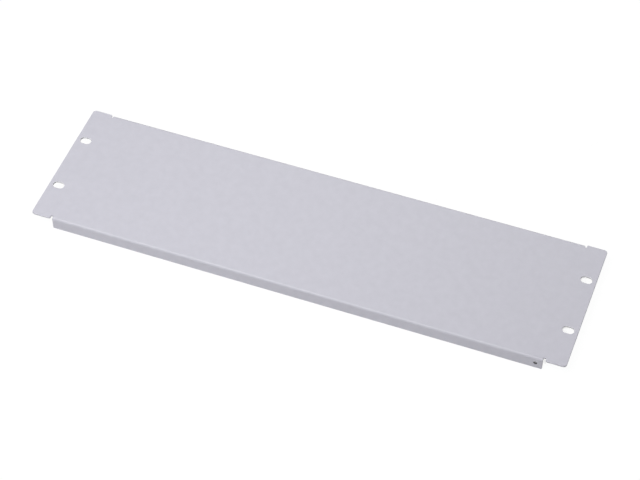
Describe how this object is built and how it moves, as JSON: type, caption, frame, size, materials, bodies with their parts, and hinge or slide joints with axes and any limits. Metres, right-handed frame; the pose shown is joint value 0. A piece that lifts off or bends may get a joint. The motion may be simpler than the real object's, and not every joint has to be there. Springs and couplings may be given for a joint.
{
  "type": "rack blanking panel",
  "caption": "Folded sheet-steel blanking panel for a 19-inch rack, with slotted ears, a shallow fold along each long edge and a pale grey powder coat.",
  "frame": {"origin": "centre of the four mounting slots, on the back of the face", "axes": "+X along the width, +Y across the height of the panel, +Z out of its front face"},
  "size_m": [0.4826, 0.1324, 0.0125],
  "materials": {
    "powder_coat": "satin powder coat, pale grey with a fine orange-peel surface"
  },
  "bodies": {
    "root": {"blanking_panel": "powder_coat"}
  },
  "joints": []
}
